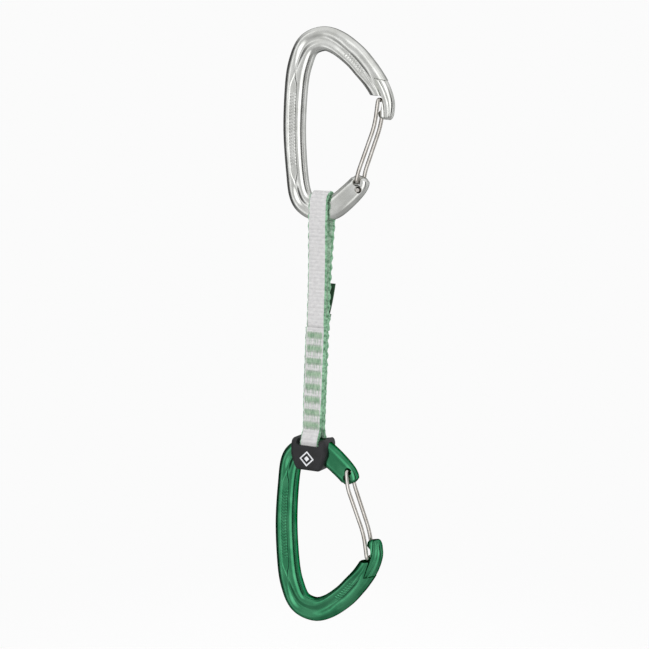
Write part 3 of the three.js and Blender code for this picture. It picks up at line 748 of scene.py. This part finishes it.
def make_webbing():
    pitch = 1.6
    # over the upper bar
    front = [(-strand_out(d), -d, WEB_WIDTH) for d in spaced(UPPER_SEAM, 0, pitch)]
    crown = [(y, z, WEB_WIDTH) for y, z in turn_points(TURN_RISE, 1)]
    back = [(-y, z, width) for y, z, width in reversed(front)]
    upper_route = front + crown + back
    upper_length = reaches(upper_route)[-1]
    upper_turn = strap("webbing_upper_turn", upper_route, -UPPER_SEAM, upper_length / 2, 0.22)
    far_end = upper_length - UPPER_SEAM
    settled(upper_turn, "webbing_upper_turn", sling_place, 50)
    finished(upper_turn, white_webbing)
    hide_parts("webbing_upper_loop")
    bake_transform(upper_turn)

    # two open strands: the front one dives under the lap
    def front_out(down):
        return strand_out(down) - 1.35 * float(ramp(down, 56, 63))

    front_foot = 64
    up_front = [(-front_out(d), -d, WEB_WIDTH) for d in spaced(front_foot, UPPER_SEAM, pitch)]
    front_strand = strap("front", up_front, -front_foot, scallop=0.14)
    down_back = [(strand_out(d), -d, WEB_WIDTH) for d in spaced(UPPER_SEAM, LOWER_SEAM, pitch)]
    back_strand = strap("back", down_back, far_end)
    strands = joined([front_strand, back_strand])
    settled(strands, "webbing_open_strands", sling_place, 50)
    finished(strands, white_webbing)
    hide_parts("webbing_front_strand", "webbing_back_strand")
    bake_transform(strands)

    # lapped front layer, round the lower bar and up the back
    def lower_out(down):
        return SEWN_OUT + (TURN_OUT - SEWN_OUT) * float(ramp(down, SEWN_END - 0.5, SEWN_END + 6.5))

    def lap_width(down):
        return SEWN_WIDTH - (SEWN_WIDTH - WEB_WIDTH) * float(ramp(down, 96, 108))

    crown_z = -LOWER_BAR - TURN_RISE
    down_front = [(-lower_out(d), -d, lap_width(d)) for d in spaced(LAP_TOP, LOWER_BAR, pitch)]
    under = [(y, z, WEB_WIDTH) for y, z in turn_points(crown_z, -1)]
    up_back = [(lower_out(d), -d, WEB_WIDTH) for d in spaced(LOWER_BAR, LOWER_SEAM, pitch)]
    # it runs the other way round, so that its outer face stays on the left
    route = list(reversed(down_front + under + up_back))
    lower_turn = strap("webbing_lower_turn", route, far_end, scallop=0.1)
    settled(lower_turn, "webbing_lower_turn", sling_place, 50)
    finished(lower_turn, white_webbing)
    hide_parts("webbing_lower_loop")
    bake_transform(lower_turn)

    # the layer between, and the cut end that stands off at the back
    between = [(0.0, -d, WEB_WIDTH) for d in spaced(111, 55, pitch)]
    middle = strap("middle", between, 0, scallop=0.1)
    cut_end = [(3.1, -62, 9.8), (3.2, -59, 9.8), (3.5, -57, 9.8), (4.2, -55.2, 9.6), (5.0, -54.0, 9.4)]
    stub = strap("stub", cut_end, 0)
    lap = joined([middle, stub])
    settled(lap, "webbing_lapped_layers", sling_place, 50)
    finished(lap, white_webbing)
    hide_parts("webbing_sewn_stretch")
    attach(lap, "sewn_sling")


# ---- bar tacks --------------------------------------------------------------------------------
def bar_tack():
    """One bar tack: stitches side by side on both faces, and the threads that run on to the next."""
    bpy.ops.mesh.primitive_uv_sphere_add(segments=8, ring_count=8, radius=1)
    stitch = bpy.context.object
    stitches = []
    count, spread, runs = 23, 1.15 * TACK_WIDTH, 6
    for face in (-1, 1):
        for k in range(count):
            x = spread * ((k + 0.5) / count - 0.5)
            slant = Matrix.Rotation(math.radians(5 if k % 2 else -5), 4, "Y")
            lift = 0.06 if k % 2 else -0.03
            long = TACK_LENGTH / 2 + 0.22 * math.sin(2.3 * k) + 0.12 * math.sin(5.1 * k)
            form = Matrix.Diagonal((0.2, 0.2, long, 1))
            place = Matrix.Translation((x, face * (3.42 + lift), 0.25 * math.sin(1.7 * k + face)))
            stitches.append(copied(stitch, "stitch", place @ slant @ form))
        for k in range(runs):
            x = TACK_WIDTH * ((k + 0.5) / runs - 0.5) + 0.3 * math.sin(4.0 * k)
            form = Matrix.Diagonal((0.14, 0.14, TACK_PITCH * 0.4, 1))
            place = Matrix.Translation((x, face * 3.3, -TACK_PITCH * 0.28))
            stitches.append(copied(stitch, "stitch", place @ form))
    bpy.data.objects.remove(stitch)
    return joined(stitches)


def make_tacks():
    tack = bar_tack()
    for k in range(TACK_COUNT):
        name = f"bar_tack_stitches_{k + 1}"
        drop = Matrix.Translation((0, 0, -(TACK_TOP + k * TACK_PITCH)))
        row = settled(copied(tack, name, Matrix.Identity(4)), name, sling_place @ drop, 60)
        finished(row, green_thread)
        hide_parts(f"bar_tack_{k + 1}")
        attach(row, "sewn_sling")
    bpy.data.objects.remove(tack)


# ---- label ------------------------------------------------------------------------------------
def make_label():
    """A folded woven label: two thin leaves, sewn in at the foot and standing off at the top."""
    length, width, thick = 16.0, 9.6, 0.28
    tilt = math.radians(21)
    bpy.ops.mesh.primitive_grid_add(x_subdivisions=12, y_subdivisions=24, size=1)
    leaf = bpy.context.object
    leaf.data.transform(Matrix.Diagonal((width, length, 1, 1)))

    def curled(x, y, z):
        t = (y + length / 2) / length
        lean = length * t * math.sin(tilt) + 0.5 * np.sin(t * math.pi)
        return x, 3.5 + lean + 0.12 * np.cos(x * 0.5), length * t * math.cos(tilt)

    shaped(leaf, curled)
    applied(leaf, "SOLIDIFY", thickness=thick, offset=0)
    twin = copied(leaf, "twin", Matrix.Translation((0, 0.32, 0.0)))
    # its foot, folded back out of the seam
    foot = copied(leaf, "foot", Matrix.Translation((0, 2.4, -3.4)) @ Matrix.Diagonal((1, 0.35, 0.2, 1)))
    label = joined([leaf, twin, foot])
    settled(label, "folded_label", sling_place @ Matrix.Translation((0, 0, -SEWN_TOP + 0.5)), 40)
    finished(label, label_weave)
    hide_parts("label_tag")
    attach(label, "sewn_sling")


# ---- rubber keeper ----------------------------------------------------------------------------
KEEPER_WIDTH, KEEPER_HALF_DEPTH = 19.6, 7.75
KEEPER_TOP = LOWER_BAR - 5.4
KEEPER_END = LOWER_BAR + 10.3
KEEPER_DIP = 2.7
POCKET_HALF = 6.25
EMBLEM_SIZE = 8.0


def rounded_block(width, depth, height, corner, segments=4):
    """A block with every edge rounded, centred on the origin."""
    bpy.ops.mesh.primitive_cube_add(size=1)
    block = bpy.context.object
    block.data.transform(Matrix.Diagonal((width, depth, height, 1)))
    applied(block, "BEVEL", width=corner, segments=segments, limit_method="NONE")
    return block


def make_keeper():
    height = KEEPER_END - KEEPER_TOP
    middle = -(KEEPER_TOP + KEEPER_END) / 2
    keeper = rounded_block(KEEPER_WIDTH, 2 * KEEPER_HALF_DEPTH, height, 2.6, 6)
    applied(keeper, "SUBSURF", levels=2, render_levels=2, subdivision_type="SIMPLE")

    def moulded(x, y, z):
        """It narrows from the middle down, and its two top corners stand up as ears."""
        low = ramp(-z, -1.0, height / 2)
        high = ramp(z, height / 2 - 3.5, height / 2) * ramp(np.abs(x), 5.6, 8.6)
        narrow = 1 - 0.26 * low
        return x * narrow, y * (1 - 0.06 * low), z + 1.1 * high

    shaped(keeper, moulded)
    keeper.data.transform(Matrix.Translation((0, 0, middle)))
    # pocket for the webbing, open at the top
    pocket = rounded_block(WEB_WIDTH + 0.6, 2 * POCKET_HALF, height + 10, 1.2)
    pocket.data.transform(Matrix.Translation((0, 0, middle + 5 + 1.2)))
    boolean(keeper, pocket)
    # the front rim dips under the webbing's face
    dip = rounded_block(WEB_WIDTH + 2.4, KEEPER_HALF_DEPTH, 2 * KEEPER_DIP + 2, 1.4)
    dip.data.transform(Matrix.Translation((0, -KEEPER_HALF_DEPTH, -KEEPER_TOP + 1)))
    boolean(keeper, dip)
    # the bar's own shape, a little larger, opens the two sides
    stations = [(x, z, width + 0.5, depth + 0.5) for x, z, width, depth in BODY_STATIONS[4:9]]
    passage = forged("passage", stations, (0.27, 0.34), 3, 4, 1)
    passage.data.transform(sling_place.inverted() @ lower_place)
    boolean(keeper, passage)
    settled(keeper, "moulded_keeper", sling_place, 35)
    finished(keeper, black_rubber)
    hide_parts("rubber_keeper")
    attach(keeper, "lower_carabiner")

    # raised mark: a plain lozenge with a smaller one inside it
    at = -(KEEPER_TOP + KEEPER_DIP + KEEPER_END) / 2
    ring = []
    for size, hole in ((EMBLEM_SIZE, EMBLEM_SIZE - 1.9), (EMBLEM_SIZE * 0.36, 0)):
        def corners(across):
            half = across / 2
            return [(0, at - half), (half, at), (0, at + half), (-half, at)]

        lozenge = plate(corners(size), -KEEPER_HALF_DEPTH - 0.15, -KEEPER_HALF_DEPTH + 0.4)
        if hole:
            boolean(lozenge, plate(corners(hole), -KEEPER_HALF_DEPTH - 2, -KEEPER_HALF_DEPTH + 2))
        applied(lozenge, "BEVEL", width=0.12, segments=2, limit_method="ANGLE")
        ring.append(lozenge)
    emblem = joined(ring)
    settled(emblem, "keeper_lozenge", sling_place, 40)
    finished(emblem, white_rubber)
    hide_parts("keeper_emblem")
    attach(emblem, "lower_carabiner")


# ---- studio -----------------------------------------------------------------------------------
FLOOR_Z = -0.42
CAMERA_AZIMUTH, CAMERA_ELEVATION = 24.1, 6.0
CAMERA_DISTANCE, CAMERA_LENS = 0.723, 79.0
CAMERA_TARGET = (0.5, 0, -136.9)
ROOM_BRIGHTNESS = 1.95


def make_camera():
    target = Vector(CAMERA_TARGET) * MM
    azimuth, elevation = math.radians(CAMERA_AZIMUTH), math.radians(CAMERA_ELEVATION)
    away = Vector((math.sin(azimuth) * math.cos(elevation), -math.cos(azimuth) * math.cos(elevation),
                   math.sin(elevation)))
    bpy.ops.object.camera_add(location=target + away * CAMERA_DISTANCE)
    camera = bpy.context.object
    camera.rotation_euler = away.to_track_quat("Z", "Y").to_euler()
    camera.data.lens = CAMERA_LENS
    camera.data.sensor_width = 36.0
    camera.data.clip_end = 50
    bpy.context.scene.camera = camera


def soft_box(name, place, target, width, height, power):
    """A lamp that lights the object but isn't mirrored in it, since the metal mirrors the room."""
    bpy.ops.object.light_add(type="AREA", location=place)
    light = bpy.context.object
    light.name = name
    light.data.shape = "RECTANGLE"
    light.data.size, light.data.size_y = width, height
    light.data.energy = power
    light.visible_glossy = False
    light.rotation_euler = (Vector(place) - Vector(target)).to_track_quat("Z", "Y").to_euler()


def make_studio():
    bpy.context.scene.view_settings.view_transform = "Standard"
    bpy.ops.mesh.primitive_plane_add(size=60)
    floor = bpy.context.object
    floor.name = "studio_floor"
    floor.location.z = FLOOR_Z
    floor.data.materials.append(pale_paper)
    floor.visible_glossy = False
    middle = (0, 0, -0.14)
    soft_box("key", (-0.35, -0.9, 0.45), middle, 0.6, 0.9, 3.0)
    soft_box("fill", (0.95, -0.35, 0.1), middle, 0.4, 0.9, 2.2)
    soft_box("top", (0.0, 0.0, 0.95), middle, 0.9, 0.9, 0.4)
    soft_box("back", (-0.3, 0.95, 0.2), middle, 0.6, 0.9, 2.0)
    world = bpy.data.worlds.new("studio")
    bpy.context.scene.world = world
    world.use_nodes = True
    tree = world.node_tree
    ground = tree.nodes["Background"]
    place = add(tree, "ShaderNodeTexCoord").outputs["Generated"]
    way = add(tree, "ShaderNodeSeparateXYZ", {0: place})
    # pale panels all round with dark gaps between them, for the metal to mirror
    ahead = add(tree, "ShaderNodeMath", {0: way.outputs[1]}, operation="MULTIPLY", _1=-1.0)
    turn = add(tree, "ShaderNodeMath", {0: way.outputs[0], 1: ahead.outputs[0]}, operation="ARCTAN2")
    around = add(tree, "ShaderNodeMapRange", {0: turn.outputs[0]}, _1=-math.pi, _2=math.pi)
    panels = ramp_node(tree, around.outputs[0], (
        (0.0, "#a0a0a0"), (0.03, "#909090"), (0.06, "#3a3a3a"), (0.13, "#383838"), (0.17, "#8c8c8c"),
        (0.21, "#383838"), (0.31, "#383838"), (0.35, "#606060"), (0.375, "#b0b0b0"), (0.40, "#ececec"),
        (0.42, "#b0b0b0"), (0.46, "#a2a2a2"), (0.495, "#a8a8a8"), (0.52, "#ffffff"), (0.60, "#ffffff"),
        (0.64, "#505050"), (0.71, "#363636"), (0.755, "#d0d0d0"), (0.80, "#b0b0b0"), (0.85, "#3c3c3c"),
        (0.895, "#dcdcdc"), (0.935, "#a0a0a0"), (1.0, "#a0a0a0")))
    above = add(tree, "ShaderNodeMapRange", {0: way.outputs[2]}, interpolation_type="SMOOTHSTEP",
                _1=0.3, _2=0.8)
    tent = add(tree, "ShaderNodeMix", {0: above.outputs[0], 6: panels.outputs[0]}, data_type="RGBA",
               _7=linear("#bcbcbc"))
    below = add(tree, "ShaderNodeMapRange", {0: way.outputs[2]}, interpolation_type="SMOOTHSTEP",
                _1=-0.3, _2=-0.7)
    room = add(tree, "ShaderNodeMix", {0: below.outputs[0], 6: tent.outputs[2]}, data_type="RGBA",
               _7=linear("#8c8c8c"))
    bright = add(tree, "ShaderNodeVectorMath", {0: room.outputs[2]}, operation="SCALE")
    bright.inputs["Scale"].default_value = ROOM_BRIGHTNESS
    # behind the object there is only the plain backdrop
    path = add(tree, "ShaderNodeLightPath")
    seen = add(tree, "ShaderNodeMix", {0: path.outputs["Is Camera Ray"], 6: bright.outputs[0]},
               data_type="RGBA", _7=linear(BACKDROP))
    tree.links.new(seen.outputs[2], ground.inputs[0])


make_camera()
make_studio()
make_carabiners()
make_webbing()
make_tacks()
make_label()
make_keeper()
